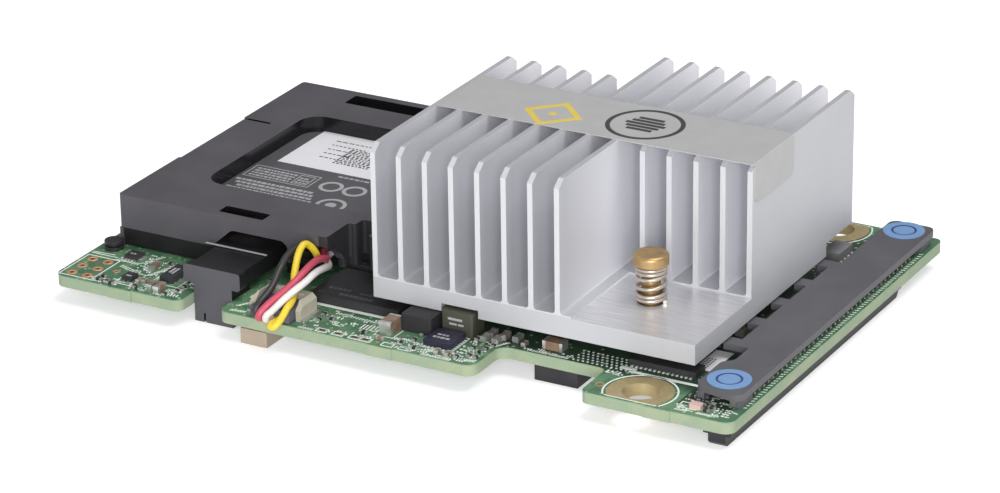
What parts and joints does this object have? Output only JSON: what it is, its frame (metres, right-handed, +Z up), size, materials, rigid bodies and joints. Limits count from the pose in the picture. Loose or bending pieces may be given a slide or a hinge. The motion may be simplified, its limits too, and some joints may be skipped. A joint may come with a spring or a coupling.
{
  "type": "raid controller card",
  "caption": "Storage controller card with a finned aluminium heatsink on spring screws, a covered backup battery with its lead and a touch strip.",
  "frame": {"origin": "axis of the front mounting hole at the board's underside", "axes": "+X along the board's long edge towards the touch strip, +Y from the front edge to the rear edge, +Z up out of the component side"},
  "size_m": [0.1, 0.0671, 0.0277],
  "materials": {
    "solder_mask_green": "satin",
    "gold_plate": "satin",
    "heatsink_aluminium": "satin",
    "label_foil": "satin",
    "screw_brass": "polished",
    "spring_steel": "polished",
    "nut_steel": "satin",
    "chip_epoxy": "matte",
    "chip_lid": "satin",
    "thermal_compound": "matte",
    "cover_plastic": "matte",
    "battery_film": "satin",
    "sticker_paper": "matte",
    "nylon_ivory": "satin",
    "solder_tin": "satin",
    "plug_plastic": "satin",
    "wire_black_pvc": "satin",
    "wire_red_pvc": "satin",
    "wire_white_pvc": "satin",
    "wire_yellow_pvc": "satin",
    "strip_plastic": "matte",
    "touch_blue": "satin",
    "connector_plastic": "satin",
    "tantalum_resin": "matte",
    "ferrite": "matte",
    "olive_ferrite": "matte",
    "ceramic_tan": "satin",
    "lamp_clear": "gloss"
  },
  "bodies": {
    "root": {"battery_cover": "cover_plastic", "battery_header": "nylon_ivory", "battery_pack": "battery_film", "battery_plug": "plug_plastic", "battery_sticker": "sticker_paper", "battery_tray": "cover_plastic", "black_inductor": "ferrite", "capacitor_ends": "solder_tin", "ceramic_capacitors": "ceramic_tan", "chip_leads": "solder_tin", "circuit_board": "solder_mask_green", "compression_springs": "spring_steel", "controller_lid": "chip_lid", "controller_substrate": "chip_epoxy", "flash_chip": "chip_epoxy", "front_hole_plating": "gold_plate", "header_tabs": "solder_tin", "heatsink": "heatsink_aluminium", "heatsink_label": "label_foil", "low_bar": "ferrite", "memory_chips": "chip_epoxy", "mezzanine_connector": "connector_plastic", "power_chip": "chip_epoxy", "power_choke": "ferrite", "quad_chip": "chip_epoxy", "rear_chip": "chip_epoxy", "rear_hole_plating": "gold_plate", "regulator": "chip_epoxy", "relief_inductor": "olive_ferrite", "round_inductor": "ferrite", "screw_nuts": "nut_steel", "spring_screws": "screw_brass", "status_lamp": "lamp_clear", "tantalum_capacitor": "tantalum_resin", "thermal_pad": "thermal_compound", "touch_points": "touch_blue", "touch_strip": "strip_plastic", "underside_terminals": "solder_tin", "wire_black": "wire_black_pvc", "wire_red": "wire_red_pvc", "wire_white": "wire_white_pvc", "wire_yellow": "wire_yellow_pvc"}
  },
  "joints": []
}
